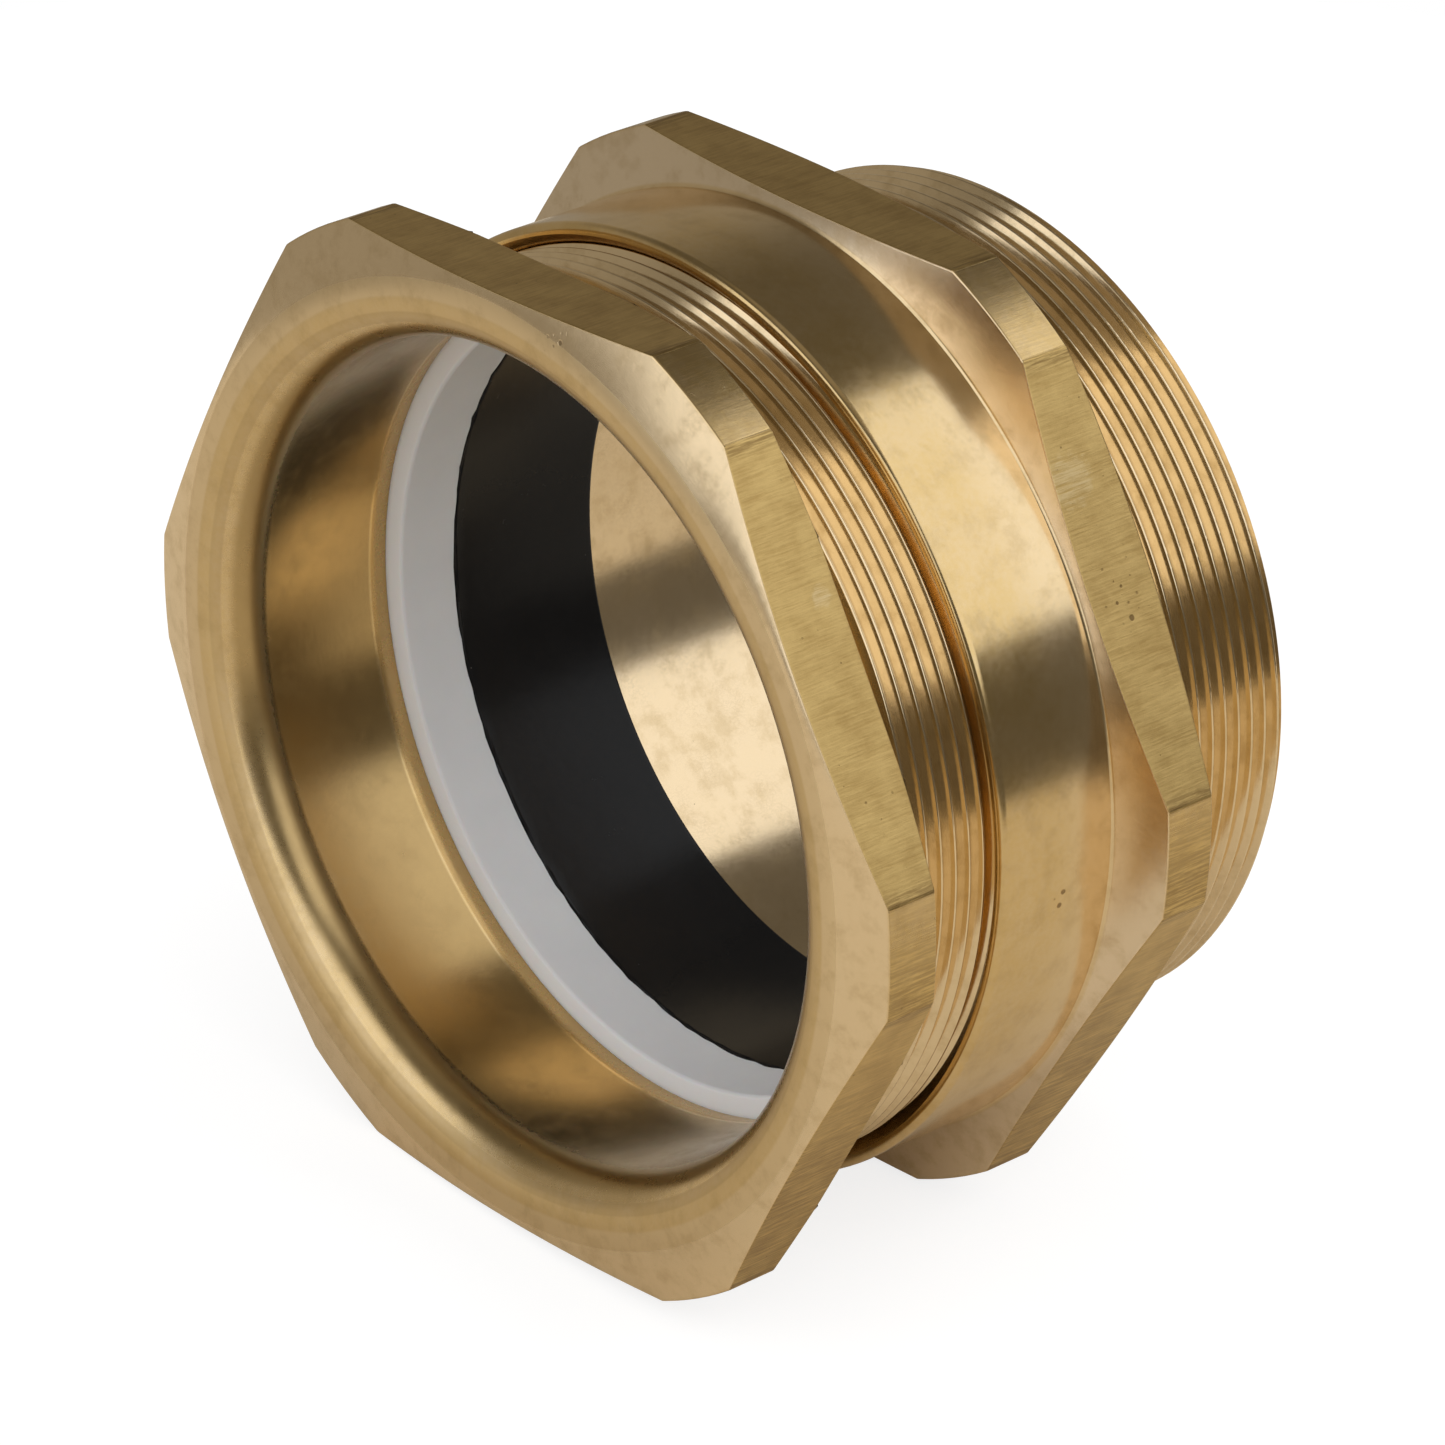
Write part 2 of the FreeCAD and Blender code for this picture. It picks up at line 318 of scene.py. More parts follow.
class Finish(Web):
    # a material and what its pattern is made with; lengths in the pattern are millimetres
    def __init__(self, name, **uniform):
        self.material = bpy.data.materials.new(name)
        self.material.use_nodes = True
        super().__init__(self.material.node_tree)
        self.shader = self.nodes["Principled BSDF"]
        for words, value in uniform.items():
            self.shader.inputs[words.replace("_", " ")].default_value = value
        coordinates = self.add("ShaderNodeTexCoord", {}, {}, "Object")
        inputs = {0: coordinates, "Scale": 1 / mm}
        self.place = self.add("ShaderNodeVectorMath", {"operation": "SCALE"}, inputs)
        split = {name: self.add("ShaderNodeSeparateXYZ", {}, {0: self.place}, name) for name in "XYZ"}
        self.x, self.y, self.z = split["X"], split["Y"], split["Z"]
        self.radius = self.maths("SQRT", self.x * self.x + self.z * self.z)

    def ramp(self, value, start, end, low=0.0, high=1.0):
        # rises smoothly from low to high between start and end, which may run either way
        inputs = {"Value": value, "From Min": start, "From Max": end, "To Min": low, "To Max": high}
        return self.add("ShaderNodeMapRange", {"interpolation_type": "SMOOTHSTEP"}, inputs)

    def mix(self, amount, first, second):
        # a Mix node's colours are its sockets 6 and 7, and the mixed one comes out of 2
        inputs = {0: amount, 6: first, 7: second}
        return self.add("ShaderNodeMix", {"data_type": "RGBA"}, inputs, 2)

    def combine(self, x, y, z):
        return self.add("ShaderNodeCombineXYZ", {}, {0: x, 1: y, 2: z})

    def noise(self, where, size, detail=2.0, roughness=0.5):
        # clouds of about this size
        inputs = {"Vector": where, "Scale": 1 / size, "Detail": detail, "Roughness": roughness}
        return self.add("ShaderNodeTexNoise", {}, inputs)

    def specks(self, spacing, largest):
        # separate dots of many sizes, up to a radius, most of them small
        inputs = {"Vector": self.place, "Scale": 1 / spacing}
        away = self.add("ShaderNodeTexVoronoi", {}, inputs, "Distance") * spacing
        chance = self.add("ShaderNodeTexVoronoi", {}, inputs, "Color")
        share = self.add("ShaderNodeSeparateColor", {}, {0: chance}, "Red")
        reach = self.maths("POWER", share, 2.0) * largest
        edge = 0.35 * largest
        return self.ramp(away - reach, 0.0, -edge)

    def spot(self, centre, size, edge, soft=0.25):
        # a soft-edged mark around a place in millimetres, its outline broken by edge
        inputs = {0: self.place, 1: centre}
        away = self.add("ShaderNodeVectorMath", {"operation": "DISTANCE"}, inputs, "Value")
        return self.ramp(away + edge * size, (1 + soft) * size, (1 - soft) * size)

    def drive(self, **driven):
        for words, wire in driven.items():
            self.links.new(wire.socket, self.shader.inputs[words.replace("_", " ")])

    def relief(self, height):
        # height in millimetres
        inputs = {"Height": height, "Strength": 1.0, "Distance": mm}
        self.drive(Normal=self.add("ShaderNodeBump", {}, inputs))

    def showInstead(self, wire):
        # another shader takes the usual one's place
        self.nodes.remove(self.shader)
        self.end(wire, "Material Output", "Surface")
        self.material.cycles.emission_sampling = "NONE"


def wear(piece, finish):
    piece.data.materials.clear()
    piece.data.materials.append(finish.material)


# brass
brass = {
    "turned": (0.73, 0.535, 0.25, 1),       # cut by the lathe's tool
    "pale": (0.76, 0.58, 0.32, 1),          # where it mottles
    "face": (0.90, 0.73, 0.49, 1),          # the nut's front and lip, and a painted highlight on the band beside the hexagon
    "cone": (0.93, 0.79, 0.60, 1),          # the cone on the body's hexagon
    "bore": (0.87, 0.71, 0.49, 1),
    # darker brass for the nut's bore, and painted shade at the lip's inner edge
    "darkBoreAndPaintedShade": (0.50, 0.355, 0.16, 1),
    "thread": (0.86, 0.70, 0.46, 1),
    "rim": (0.72, 0.47, 0.16, 1),           # the end of the body's band, with a painted orange reflection from the thread's groove
    "ring": (0.62, 0.46, 0.22, 1),          # the outer edge of the nut's front
    "paintedLeadShade": (0.52, 0.33, 0.12, 1),          # painted shade on the bore beside the washer
    "drawn": (0.69, 0.50, 0.205, 1),        # the bar's own skin, on flats and corners
    "drawnDark": (0.49, 0.33, 0.12, 1),
    # brown on the corners, and painted shade towards the bottom
    "brownAndPaintedShade": (0.26, 0.165, 0.065, 1),
    "dull": (0.52, 0.375, 0.175, 1),        # where hands have dulled it
    "scuff": (0.80, 0.66, 0.40, 1),         # rubbed bright
    "stain": (0.16, 0.095, 0.04, 1),
    "turnedRoughness": 0.10,                # least; the pattern adds up to 0.14
    "drawnRoughness": 0.32,                 # least; the streaks add up to 0.16
    "toolLines": 7.0,                       # how close the tool's lines are, for each millimetre
    "cloudSize": 6.0,
    "grainSize": 0.55,
    "patchSize": 3.5,
    "smudgeSize": 2.6,
    "streakWidth": 0.20,
    "streakSqueeze": 0.055,                 # the streaks' width as a share of their length
    "pitSpacing": 0.8,
    "pitRadius": 0.16,
    "patchPitSpacing": 0.7,
    "patchPitRadius": 0.32,
    "speckSpacing": 3.4,
    "speckRadius": 0.11,
    "wormSize": 0.36,
    "wormPatch": 4.0,
    "wormThinness": 11.0,
    "edgeSize": 0.9,                        # of what breaks the marks' outlines
    "flatSkin": (0.12, 0.03),               # how deep below a flat the bar's skin starts and is full
    "cornerSkin": (0.1, 0.03),
    "skinHeights": (8.0, -4.0),             # how much of the corners shows the bar's skin, from less above to more below
    "skinShares": (0.22, 0.85),
    "cornerStain": (0.6, 0.1),              # how far inside the corners the brown starts and is full
    "paintedShadeHeights": (-5.0, -25.0),             # the heights where the painted shade below starts and is full
    # how strong a pattern is where its mark starts to show, and where it shows fully
    "mottled": (0.36, 0.66),
    "streaked": (0.33, 0.64),
    "scuffed": (0.36, 0.62),
    "smudged": (0.44, 0.72),
    "pitted": (0.52, 0.62),
    "cornerBrowned": (0.62, 0.42),
    "underShadeStreaked": (0.70, 0.35),
    "wormed": (0.38, 0.68),
    # how much of each mark's colour is laid on
    "cornerShare": 0.7,
    "underShadeShare": 0.55,
    "scuffShare": 0.5,
    "dullShare": 0.36,
    "pitShare": 0.7,
    "speckShare": 0.5,
    # heights and depths in millimetres
    "lineHeight": 0.0016,
    "grainHeight": 0.0022,
    "streakHeight": 0.016,
    "patchHeight": 0.02,
    "pitDepth": 0.02,
    "speckDepth": 0.01,
}


def brassFinish(name, flatsTurn, zones, scuffs, pitted):
    # Turned metal all over, and drawn bar on the six flats and corners. zones gives
    # (where, tint, how much of it, extra roughness) for the parts that look different, and
    # scuffs and pitted are (place, size) of rubbed patches and of patches of small pits.
    finish = Finish(name, Metallic=1.0)
    x, y, z, radius = finish.x, finish.y, finish.z, finish.radius
    # how far out along the nearest flat's direction
    reaches = []
    for number in range(3):
        turn = math.radians(hexagon["firstFlat"] + flatsTurn + 60 * number)
        reaches.append(finish.maths("ABSOLUTE", x * math.cos(turn) + z * math.sin(turn)))
    reach = finish.maths("MAXIMUM", finish.maths("MAXIMUM", reaches[0], reaches[1]), reaches[2])
    flat = finish.ramp(reach, *(hexagon["flatDistance"] - depth for depth in brass["flatSkin"]))
    corner = finish.ramp(radius, *(hexagon["cornerRadius"] - depth for depth in brass["cornerSkin"]))
    corner = corner * finish.ramp(z, *brass["skinHeights"], *brass["skinShares"])
    drawn = finish.maths("MAXIMUM", flat, corner)

    # the tool's lines run round the axis, so they change along it and outwards, and slowly round it
    spacing = brass["toolLines"]
    rounds = finish.combine(radius * spacing, y * spacing, x / radius * 9.0 + z / radius * 5.0)
    lines = finish.noise(rounds, 1.0, detail=3.0, roughness=0.6)
    clouds = finish.noise(finish.place, brass["cloudSize"], detail=4.0, roughness=0.6)
    grain = finish.noise(finish.place, brass["grainSize"], detail=3.0, roughness=0.6)
    # the bar's streaks run along the axis, short and broken, over patches
    alongBar = finish.combine(x, y * brass["streakSqueeze"], z)
    streaks = finish.noise(alongBar, brass["streakWidth"], detail=5.0, roughness=0.7)
    patches = finish.noise(finish.place, brass["patchSize"], detail=5.0, roughness=0.6)
    edges = finish.noise(finish.place, brass["edgeSize"], detail=4.0, roughness=0.7) * 2.0 - 1.0
    pits = finish.specks(brass["pitSpacing"], brass["pitRadius"])
    pits = pits * finish.ramp(clouds, *brass["pitted"]) * drawn * 0.7
    patchPits = finish.specks(brass["patchPitSpacing"], brass["patchPitRadius"])
    for centre, size in pitted:
        pits = finish.maths("MAXIMUM", pits, finish.spot(centre, size, edges * 0.5) * patchPits)
    # the odd nick and speck anywhere
    specks = finish.specks(brass["speckSpacing"], brass["speckRadius"])

    mottle = finish.ramp(clouds * 0.55 + grain * 0.45, *brass["mottled"])
    turnedColour = finish.mix(mottle, brass["turned"], brass["pale"])
    streaked = finish.ramp(streaks * 0.55 + patches * 0.45, *brass["streaked"])
    drawnColour = finish.mix(streaked, brass["drawnDark"], brass["drawn"])
    brown = finish.ramp(radius, *(hexagon["cornerRadius"] - depth for depth in brass["cornerStain"]))
    brown = brown * finish.ramp(streaks, *brass["cornerBrowned"])
    drawnColour = finish.mix(brown * brass["cornerShare"], drawnColour, brass["brownAndPaintedShade"])
    # painted shade: the drawn brass turns browner towards the bottom
    paintedUnderShade = finish.ramp(z, *brass["paintedShadeHeights"]) * finish.ramp(streaks, *brass["underShadeStreaked"])
    drawnColour = finish.mix(paintedUnderShade * brass["underShadeShare"], drawnColour, brass["brownAndPaintedShade"])
    colour = finish.mix(drawn, turnedColour, drawnColour)
    roughness = (clouds * 0.08 + grain * 0.06 + brass["turnedRoughness"]) * (1 - drawn)
    roughness = roughness + (streaks * 0.16 + brass["drawnRoughness"]) * drawn
    for inside, tint, share, rougher in zones(finish, 1 - flat):
        colour = finish.mix(inside * share, colour, tint)
        roughness = roughness + inside * rougher
    for centre, size in scuffs:
        rubbed = finish.spot(centre, size, edges) * finish.ramp(streaks, *brass["scuffed"])
        colour = finish.mix(rubbed * brass["scuffShare"], colour, brass["scuff"])
    smudges = finish.noise(finish.place, brass["smudgeSize"], detail=6.0, roughness=0.66)
    dulled = finish.ramp(smudges, *brass["smudged"]) * (1 - flat)
    colour = finish.mix(dulled * brass["dullShare"], colour, brass["dull"])
    roughness = roughness + dulled * 0.05
    dark = finish.maths("MAXIMUM", pits * brass["pitShare"], specks * brass["speckShare"])
    colour = finish.mix(dark, colour, brass["stain"])
    roughness = roughness + dark * 0.15
    height = lines * brass["lineHeight"] * (1 - drawn) + grain * brass["grainHeight"]
    height = height + (streaks * brass["streakHeight"] + patches * brass["patchHeight"]) * drawn
    height = height - pits * brass["pitDepth"] - specks * brass["speckDepth"]
    finish.drive(Base_Color=colour, Roughness=roughness)
    finish.relief(height)
    return finish


def threadZones(finish, root):
    # the thread's flanks, and the dirt and painted shade at the bottom of its groove, from its root's radius
    flanks = finish.ramp(finish.radius, root - 0.5, root - 0.3)
    dirtAndPaintedShade = finish.ramp(finish.radius, root + 0.22, root) * finish.ramp(finish.radius, root - 1.0, root - 0.8)
    return flanks, dirtAndPaintedShade


def wormHoles(finish):
    # fine broken pitting, as a reamer leaves it
    fine = finish.noise(finish.combine(finish.x, finish.y * 0.7, finish.z), brass["wormSize"])
    broad = finish.noise(finish.place, brass["wormPatch"], detail=4.0, roughness=0.6)
    line = 1 - finish.maths("ABSOLUTE", fine - 0.5) * brass["wormThinness"]
    return finish.maths("MAXIMUM", line, 0.0) * finish.ramp(broad, *brass["wormed"])


# the entry body
entryBody = {
    "threadRadius": 37.5,
    "threadDepth": 0.92,
    "threadMouth": 1.3125,
    "undercut": 2.0,
    "undercutRamp": 0.6,
    "undercutDepth": 0.3,
    "endChamfer": 0.8,
    "shoulderRadius": 42.0,
    "shoulderRise": 1.3,
    "hexWidth": 6.1,
    "faceAngle": 15.0,
    "bandRadius": 41.4,
    "bandStep": 0.25,
    "bandRound": 0.7,
    "rimChamfer": 1.6,
    "grooveRadius": 39.65,
    "bandThreadDepth": 0.812,
    "bandThreadMouth": 1.125,
    "bandThreadStart": -21.25,      # half a pitch off the nut's grooves, so that they mesh
    "cavityRadius": 38.0,
    "cavityEnd": -6.8,
    "boreRadius": 33.5,
    "seatStart": 0.6,
    "seatAngle": 40.0,
    "scuffs": [((32.4, -5.2, 28.8), 2.0)],      # places and sizes of rubbed patches
    "pitted": [((37.3, -2.9, 20.4), 3.2), ((41.3, -13.0, -2.7), 1.0)],
    # where the finish changes: each pair is where the change starts and where it is full
    "threadFrom": (1.2, 1.6),
    "threadWithin": (38.6, 38.2),
    "rimWithin": (40.9, 40.3),
    "rimBeyond": (38.3, 38.9),
    "rimFront": (-17.5, -18.2),
    "coneFront": (-6.0, -6.2),
    "coneBeyond": (41.5, 41.8),
    "bandBeside": (-15.0, -9.0),
    "bandEnd": (-6.0, -6.5),
    "bandBeyond": (40.8, 41.0),
    "boreWithin": (35.78, 35.58),
    "pittingWithin": (34.0, 33.8),
}


def makeEntryBody():
    size = entryBody
    low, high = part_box("entry_body")
    tip = high.y / mm
    rim = low.y / mm
    threadRadius = size["threadRadius"]
    relief = threadRadius - size["threadDepth"] - size["undercutDepth"]
    band = size["bandRadius"]
    step = size["bandStep"]
    faceRun = (hexagon["cornerRadius"] - band - step) * math.tan(math.radians(size["faceAngle"]))
    faceEnd = -size["hexWidth"] - faceRun
    crest = size["grooveRadius"] - size["bandThreadDepth"]
    internalRelief = size["grooveRadius"] + size["undercutDepth"]
    undercutStart = size["cavityEnd"] - size["undercut"]
    seatRun = (size["cavityRadius"] - size["boreRadius"]) / math.tan(math.radians(size["seatAngle"]))
    roundCentre = (band - size["bandRound"], rim + size["bandRound"])
    outline = [
        (size["boreRadius"], tip),
        (threadRadius - size["endChamfer"], tip),
        (threadRadius, tip - size["endChamfer"]),
        (threadRadius, size["undercut"] + size["undercutRamp"]),
        (relief, size["undercut"]),
        (relief, 0.0),
        (size["shoulderRadius"], 0.0),
        (hexagon["cornerRadius"], -size["shoulderRise"]),
        (hexagon["cornerRadius"], -size["hexWidth"]),
        (band + step, faceEnd),
        (band, faceEnd - step),
    ]
    outline += arc(roundCentre, size["bandRound"], 0, -90, 8)
    outline += [
        (crest + size["rimChamfer"], rim),
        (crest, rim + size["rimChamfer"]),
        (crest, undercutStart),
        (internalRelief, undercutStart),
        (internalRelief, size["cavityEnd"]),
        (size["cavityRadius"], size["cavityEnd"]),
        (size["cavityRadius"], size["seatStart"] - seatRun),
        (size["boreRadius"], size["seatStart"]),
    ]
    body = turnedPiece("gland_body", outline)
    millFlats(body)
    breakEdges(body)
    halfway = size["undercut"] / 2
    cutThread(body, threadRadius, size["threadDepth"], size["threadMouth"], halfway, tip + thread["pitch"])
    start, end = size["bandThreadStart"], size["cavityEnd"] - halfway
    cutThread(body, crest, -size["bandThreadDepth"], size["bandThreadMouth"], start, end)
    shade(body)
    return body


def bodyZones(finish, notFlat):
    y, radius = finish.y, finish.radius
    size = entryBody
    flanks, dirtAndPaintedShade = threadZones(finish, size["threadRadius"] - size["threadDepth"])
    threaded = flanks * finish.ramp(y, *size["threadFrom"]) * finish.ramp(radius, *size["threadWithin"])
    # the band's end, tinted with a painted orange reflection from the groove
    rim = finish.ramp(radius, *size["rimWithin"]) * finish.ramp(radius, *size["rimBeyond"])
    rim = rim * finish.ramp(y, *size["rimFront"])
    cone = finish.ramp(radius, *size["coneBeyond"]) * finish.ramp(y, *size["coneFront"]) * notFlat
    # painted highlight on the band beside the hexagon
    paintedBandHighlight = finish.ramp(y, *size["bandBeside"]) * finish.ramp(y, *size["bandEnd"])
    paintedBandHighlight = paintedBandHighlight * finish.ramp(radius, *size["bandBeyond"]) * notFlat
    bore = finish.ramp(radius, *size["boreWithin"])
    worms = wormHoles(finish) * finish.ramp(radius, *size["pittingWithin"])
    return [
        (paintedBandHighlight, brass["face"], 0.5, 0.0),
        (cone, brass["cone"], 0.85, 0.02),
        (threaded, brass["thread"], 1.0, -0.04),
        (dirtAndPaintedShade, brass["stain"], 0.18, 0.08),
        (rim, brass["rim"], 0.8, 0.05),
        (bore, brass["bore"], 0.8, 0.0),
        (worms, brass["stain"], 0.10, 0.0),
    ]


# the seal nut
sealNut = {
    "threadRadius": 39.5,
    "threadDepth": 0.92,
    "threadMouth": 1.3125,
    "back": -30.5,
    "undercut": 2.0,
    "undercutRamp": 0.6,
    "undercutDepth": 0.3,
    "endChamfer": 0.8,
    "backRadius": 43.5,
    "backRise": 0.8,
    "hexWidth": 5.7,
    "faceRadius": 41.7,
    "boreRadius": 35.8,
    "lipRadius": 4.25,
    "washerSeat": -19.9,
    "leadLength": 2.0,
    "leadRise": 0.5,
    "pocketRadius": 37.5,
    "turn": 2.2,            # how far its hexagon stands off the body's, from +X towards +Z
    "scuffs": [((33.0, -32.2, 27.4), 0.9)],
    "pitted": [((7.2, -37.5, 41.2), 1.2), ((27.9, -37.4, 23.2), 0.7)],
    # where the finish changes: each pair is where the change starts and where it is full
    "threadFrom": (-30.3, -30.0),
    "faceFront": (-36.1, -36.3),
    "faceBeyond": (39.8, 40.2),
    "ringFront": (-37.0, -37.3),
    "ringWithin": (41.75, 41.6),
    "lipFront": (-32.5, -34.5),
    "lipWithin": (40.4, 39.8),
    "throatFront": (-33.4, -34.2),
    "throatWithin": (37.3, 36.6),
    "leadBehind": (-22.1, -21.8),
    "leadWithin": (37.0, 36.6),
    "boreWithin": (36.2, 36.0),
    "boreFront": (-22.0, -22.3),
    "pittingBehind": (-32.2, -31.4),
}


def makeSealNut():
    size = sealNut
    low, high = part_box("outer_seal_nut")
    end = high.y / mm
    front = low.y / mm
    threadRadius = size["threadRadius"]
    relief = threadRadius - size["threadDepth"] - size["undercutDepth"]
    back = size["back"]
    bore = size["boreRadius"]
    lip = size["lipRadius"]
    outline = [
        (threadRadius - size["endChamfer"], end),
        (threadRadius, end - size["endChamfer"]),
        (threadRadius, back + size["undercut"] + size["undercutRamp"]),
        (relief, back + size["undercut"]),
        (relief, back),
        (size["backRadius"], back),
        (hexagon["cornerRadius"], back - size["backRise"]),
        (hexagon["cornerRadius"], back - size["hexWidth"]),
        (size["faceRadius"], front),
    ]
    outline += arc((bore + lip, front + lip), lip, -90, -180, 30)
    outline += [
        (bore, size["washerSeat"] - size["leadLength"]),
        (bore + size["leadRise"], size["washerSeat"]),
        (size["pocketRadius"], size["washerSeat"]),
        (size["pocketRadius"], end),
    ]
    nut = turnedPiece("seal_nut", outline)
    millFlats(nut)
    breakEdges(nut)
    start = back + size["undercut"] / 2
    cutThread(nut, threadRadius, size["threadDepth"], size["threadMouth"], start, end + thread["pitch"])
    pick(nut)
    nut.rotation_euler = (0, -math.radians(size["turn"]), 0)
    bpy.ops.object.transform_apply(location=True, rotation=True, scale=True)
    shade(nut)
    return nut


def nutZones(finish, notFlat):
    y, radius = finish.y, finish.radius
    size = sealNut
    flanks, dirtAndPaintedShade = threadZones(finish, size["threadRadius"] - size["threadDepth"])
    threaded = flanks * finish.ramp(y, *size["threadFrom"])
    front = finish.ramp(y, *size["faceFront"]) * finish.ramp(radius, *size["faceBeyond"]) * notFlat
    ring = finish.ramp(y, *size["ringFront"]) * finish.ramp(radius, *size["ringWithin"])
    lip = finish.ramp(y, *size["lipFront"]) * finish.ramp(radius, *size["lipWithin"])
    # painted shade on the lip's inner edge, where it meets the bore
    paintedThroatShade = finish.ramp(y, *size["throatFront"]) * finish.ramp(radius, *size["throatWithin"])
    # painted shade on the bore's lead, beside the washer
    paintedLeadShade = finish.ramp(y, *size["leadBehind"]) * finish.ramp(radius, *size["leadWithin"])
    bore = finish.ramp(radius, *size["boreWithin"]) * finish.ramp(y, *size["boreFront"])
    worms = wormHoles(finish) * bore * finish.ramp(y, *size["pittingBehind"])
    return [
        (front, brass["face"], 0.9, 0.03),
        (bore, brass["darkBoreAndPaintedShade"], 0.95, 0.04),
        (lip, brass["face"], 0.2, 0.09),
        (paintedThroatShade, brass["darkBoreAndPaintedShade"], 0.8, 0.02),
        (threaded, brass["thread"], 1.0, -0.04),
        (dirtAndPaintedShade, brass["stain"], 0.18, 0.08),
        (ring, brass["ring"], 0.35, 0.14),
        (paintedLeadShade, brass["paintedLeadShade"], 0.7, 0.1),
        (worms, brass["stain"], 0.16, 0.0),
    ]


# the skid washer
skidWasher = {
    "boreRadius": 34.2,
    "rimRadius": 37.3,
    "edge": 0.35,
    "ragged": 0.14,
    "colour": (0.88, 0.885, 0.90, 1),
    "greyAndPaintedShade": (0.60, 0.61, 0.63, 1),
    "paintedShadeWithin": (34.55, 34.3),    # painted shade on the bore's wall: where it starts and is full
    "dust": (0.35, 0.33, 0.30, 1),
    "dustSpacing": 2.2,
    "dustRadius": 0.11,
    "cloudSize": 5.0,
    "grainSize": 0.5,
    "toolLines": 5.0,
    "relief": 0.006,
    "roughness": 0.38,
}


def makeWasher():
    size = skidWasher
    low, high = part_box("skid_washer")
    front = low.y / mm
    back = high.y / mm
    bore = size["boreRadius"]
    rim = size["rimRadius"]
    edge = size["edge"]
    outline = [(bore, back), (rim, back)]
    outline += arc((rim - edge, front + edge), edge, 0, -90, 4)
    outline += arc((bore + edge, front + edge), edge, -90, -180, 4)
    washer = turnedPiece("nylon_washer", outline)
    ruffle(washer, bore + edge / 2, (back - edge, back + edge), size["ragged"])
    shade(washer)
    return washer


def nylonFinish():
    finish = Finish("nylon", IOR=1.52, Subsurface_Weight=0.12, Subsurface_Scale=0.002)
    size = skidWasher
    clouds = finish.noise(finish.place, size["cloudSize"], detail=4.0, roughness=0.6)
    grain = finish.noise(finish.place, size["grainSize"], detail=3.0, roughness=0.6)
    spacing = size["toolLines"]
    rounds = finish.combine(finish.radius * spacing, finish.y * spacing, finish.x * 0.1 + finish.z * 0.07)
    lines = finish.noise(rounds, 1.0, detail=3.0, roughness=0.6)
    dust = finish.specks(size["dustSpacing"], size["dustRadius"])
    # painted shade on the bore's wall, over grey clouds
    inside = finish.ramp(finish.radius, *size["paintedShadeWithin"])
    colour = finish.mix(inside * 0.55 + clouds * 0.25, size["colour"], size["greyAndPaintedShade"])
    colour = finish.mix(dust * 0.5, colour, size["dust"])
    finish.drive(Base_Color=colour, Roughness=clouds * 0.15 + size["roughness"])
    finish.relief((lines + grain) * size["relief"])
    return finish


# the rubber seal
rubberSeal = {
    "rimRadius": 37.8,
    "mouthRadius": 34.1,
    "noseRadius": 32.6,
    "coneStart": -4.76,
    "noseOuter": 33.55,
    "edge": 0.35,
    "ragged": 0.12,
    "mouthDip": 0.05,       # the mouth's wall narrows by this
    "mouthLength": 1.2,     # over this length
    "noseFlare": 0.08,      # the nose's wall widens by this
    "noseLength": 0.6,
    "noseRound": 0.3,
    "colour": (0.006, 0.006, 0.0065, 1),
    "cloudy": (0.011, 0.011, 0.012, 1),
    "dust": (0.16, 0.15, 0.14, 1),
    "dustSpacing": 1.6,
    "dustRadius": 0.09,
    "cloudSize": 7.0,
    "grainSize": 0.35,
    "cloudHeight": 0.05,
    "grainHeight": 0.004,
    "roughness": 0.16,
    "keep": 0.58,           # its length when the nut is home, as a share
}


def makeSeal():
    size = rubberSeal
    low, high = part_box("outer_seal")
    front = low.y / mm
    nose = high.y / mm
    edge = size["edge"]
    rim = size["rimRadius"]
    mouth = size["mouthRadius"]
    outline = [(size["noseOuter"], nose), (rim, size["coneStart"])]
    outline += arc((rim - edge, front + edge), edge, 0, -90, 4)
    outline += arc((mouth + edge, front + edge), edge, -90, -180, 6)
    noseRadius = size["noseRadius"]
    bend = size["noseRound"]
    outline += [
        (mouth - size["mouthDip"], front + size["mouthLength"]),
        (noseRadius + size["noseFlare"], nose - size["noseLength"]),
    ]
    outline += arc((noseRadius + bend, nose - bend), bend, 180, 90, 4)
    seal = turnedPiece("rubber_seal", outline)
    ruffle(seal, mouth + edge, (front - edge, front + edge), size["ragged"])
    shade(seal)
    return seal


def rubberFinish():
    finish = Finish("rubber", IOR=1.5, Specular_IOR_Level=0.22, Specular_Tint=(0.93, 0.96, 1.0, 1))
    size = rubberSeal
    clouds = finish.noise(finish.place, size["cloudSize"], detail=4.0, roughness=0.6)
    grain = finish.noise(finish.place, size["grainSize"], detail=3.0, roughness=0.6)
    dust = finish.specks(size["dustSpacing"], size["dustRadius"])
    colour = finish.mix(clouds, size["colour"], size["cloudy"])
    colour = finish.mix(dust * 0.6, colour, size["dust"])
    finish.drive(Base_Color=colour, Roughness=clouds * 0.12 + grain * 0.05 + size["roughness"])
    finish.relief(grain * size["grainHeight"] + clouds * size["cloudHeight"])
    return finish


body = makeEntryBody()
wear(body, brassFinish("bodyBrass", 0.0, bodyZones, entryBody["scuffs"], entryBody["pitted"]))
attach(body, "gland")
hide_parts("entry_body")
print("entry body made")

nut = makeSealNut()
wear(nut, brassFinish("nutBrass", sealNut["turn"], nutZones, sealNut["scuffs"], sealNut["pitted"]))
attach(nut, "nut")
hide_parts("outer_seal_nut")
print("seal nut made")

washer = makeWasher()
wear(washer, nylonFinish())
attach(washer, "washer")
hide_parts("skid_washer")
print("skid washer made")

seal = makeSeal()
wear(seal, rubberFinish())
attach(seal, "gland")
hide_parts("outer_seal")
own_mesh(seal)
print("rubber seal made")


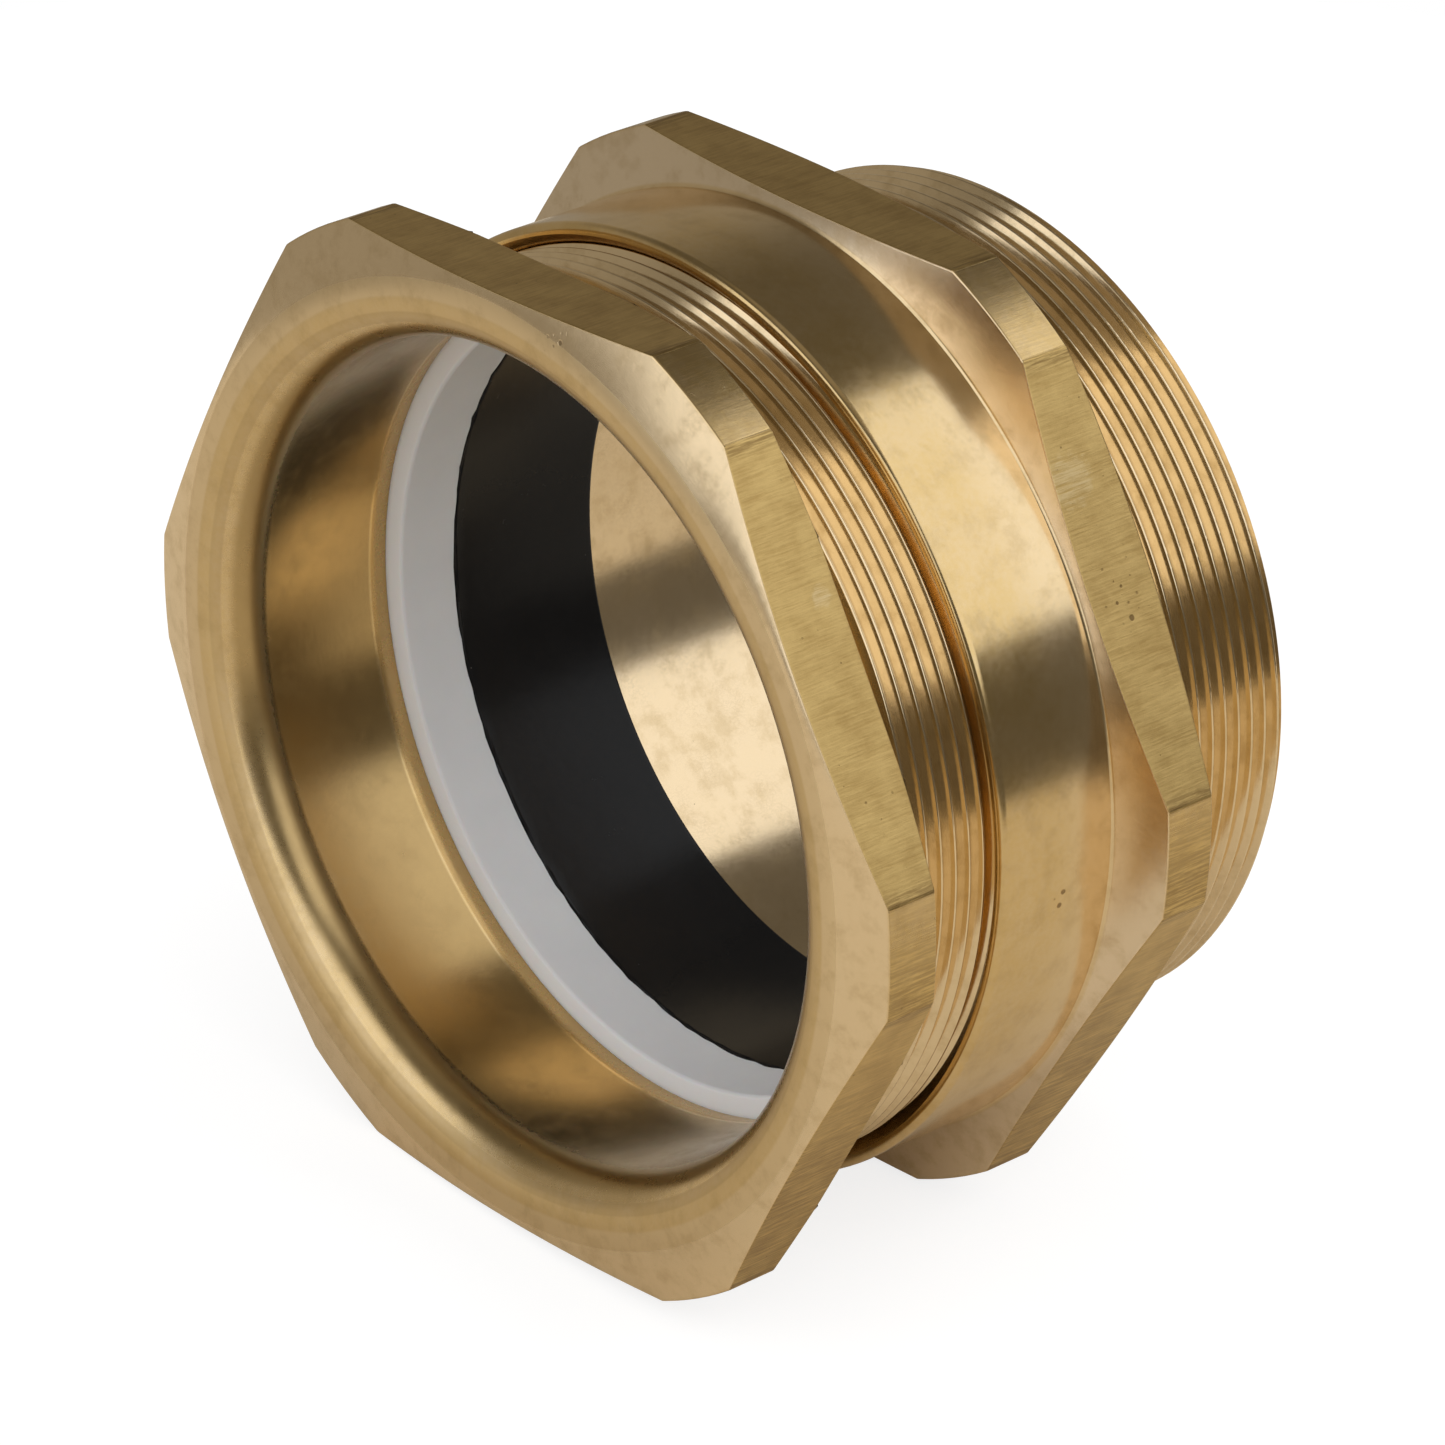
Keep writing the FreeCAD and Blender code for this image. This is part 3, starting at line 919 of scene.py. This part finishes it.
# the floor, lamps and surroundings
studio = {
    "floorRadius": 0.26,
    "floorColour": (0.68, 0.68, 0.68, 1),
    # what all but the camera sees of the floor: painted bounce light from the brass, and painted shade near
    # it
    "floorPaintedBounce": (0.66, 0.58, 0.46, 1),
    "floorGlow": 0.80,          # what the floor adds for the camera, so that it is white
    "shadowDepth": 0.42,        # how much of the floor's own light the camera keeps
    "fill": 0.65,               # light from all round, on surfaces that aren't glossy
    "room": 0.12,               # what metal sees of the room between the lamps
    "wallRadius": 2.5,
    "wallColour": (1.0, 0.88, 0.70, 1),
    # the walls' paler parts, whose edges are shares of that radius, and what they add to the room
    "leftEdge": (-0.35, -0.85),
    "leftTop": (0.75, 0.30),
    "leftGlow": 0.2,
    "overheadEdge": (0.82, 0.98),
    "overheadGlow": 0.16,
    # azimuth from +Y towards +X, elevation, then distance, width and height in metres, and radiance
    "rightSoftbox": (68, 43.75, 1.0, 2.6, 0.986, 1.0),
    "leftSoftbox": (-173, 18.75, 1.0, 1.02, 1.12, 0.95),
}


def softbox(name, azimuth, elevation, distance, width, height, radiance):
    turn = math.radians(azimuth)
    rise = math.radians(elevation)
    away = Vector((math.sin(turn) * math.cos(rise), math.cos(turn) * math.cos(rise), math.sin(rise)))
    lamp = bpy.data.lights.new(name, "AREA")
    lamp.shape = "RECTANGLE"
    lamp.size = width
    lamp.size_y = height
    lamp.energy = radiance * math.pi * width * height
    box = bpy.data.objects.new(name, lamp)
    bpy.context.scene.collection.objects.link(box)
    box.location = away * distance
    box.rotation_mode = "QUATERNION"
    box.rotation_quaternion = away.to_track_quat("Z", "Y")
    box.visible_camera = False


def layFloor():
    # a round table top: white to the camera but for the shadow, and to the metal warmer and darker, with
    # painted bounce light from the brass and painted shade near it
    deselect()
    bpy.ops.mesh.primitive_circle_add(
        vertices=96, radius=studio["floorRadius"], fill_type="NGON", location=(0, 0, cadBox[0].z)
    )
    floor = bpy.context.object
    floor.name = "floor"
    finish = Finish("floorFinish")
    seen = finish.add("ShaderNodeLightPath", {}, {}, "Is Camera Ray")
    paintedBounceFloor = finish.add("ShaderNodeBsdfDiffuse", {}, {"Color": studio["floorPaintedBounce"]})
    faint = [share * studio["shadowDepth"] for share in studio["floorColour"][:3]] + [1]
    shadowed = finish.add("ShaderNodeBsdfDiffuse", {}, {"Color": faint})
    glow = finish.add("ShaderNodeEmission", {}, {"Strength": studio["floorGlow"]})
    white = finish.add("ShaderNodeAddShader", {}, {0: shadowed, 1: glow})
    finish.showInstead(finish.add("ShaderNodeMixShader", {}, {0: seen, 1: paintedBounceFloor, 2: white}))
    wear(floor, finish)


def hangWalls():
    # dim walls that only reflections see, paler on the left and overhead
    deselect()
    bpy.ops.mesh.primitive_uv_sphere_add(segments=48, ring_count=24, radius=studio["wallRadius"])
    walls = bpy.context.object
    walls.name = "walls"
    walls.visible_camera = False
    walls.visible_diffuse = False
    walls.visible_shadow = False
    walls.visible_transmission = False
    finish = Finish("wallFinish")
    across = finish.x / (studio["wallRadius"] / mm)
    height = finish.z / (studio["wallRadius"] / mm)
    left = finish.ramp(across, *studio["leftEdge"]) * finish.ramp(height, *studio["leftTop"])
    overhead = finish.ramp(height, *studio["overheadEdge"])
    light = left * studio["leftGlow"] + overhead * studio["overheadGlow"] + studio["room"]
    inputs = {"Color": studio["wallColour"], "Strength": light}
    finish.showInstead(finish.add("ShaderNodeEmission", {}, inputs))
    wear(walls, finish)


def lightWorld():
    # white behind everything and in what is glossy or clear, and a fill for all else
    world = bpy.data.worlds.new("studio")
    bpy.context.scene.world = world
    world.use_nodes = True
    world.cycles.sampling_method = "NONE"
    web = Web(world.node_tree)
    seen = web.add("ShaderNodeLightPath", {}, {}, "Is Camera Ray")
    for ray in ("Is Glossy Ray", "Is Transmission Ray"):
        seen = web.maths("MAXIMUM", seen, web.add("ShaderNodeLightPath", {}, {}, ray))
    web.nodes["Background"].inputs["Color"].default_value = (1, 1, 1, 1)
    strength = web.add("ShaderNodeMapRange", {}, {"Value": seen, "To Min": studio["fill"]})
    web.end(strength, "Background", "Strength")


layFloor()
hangWalls()
lightWorld()
for name in ("rightSoftbox", "leftSoftbox"):
    softbox(name, *studio[name])
bpy.context.scene.view_settings.view_transform = "Standard"
print("studio lit")
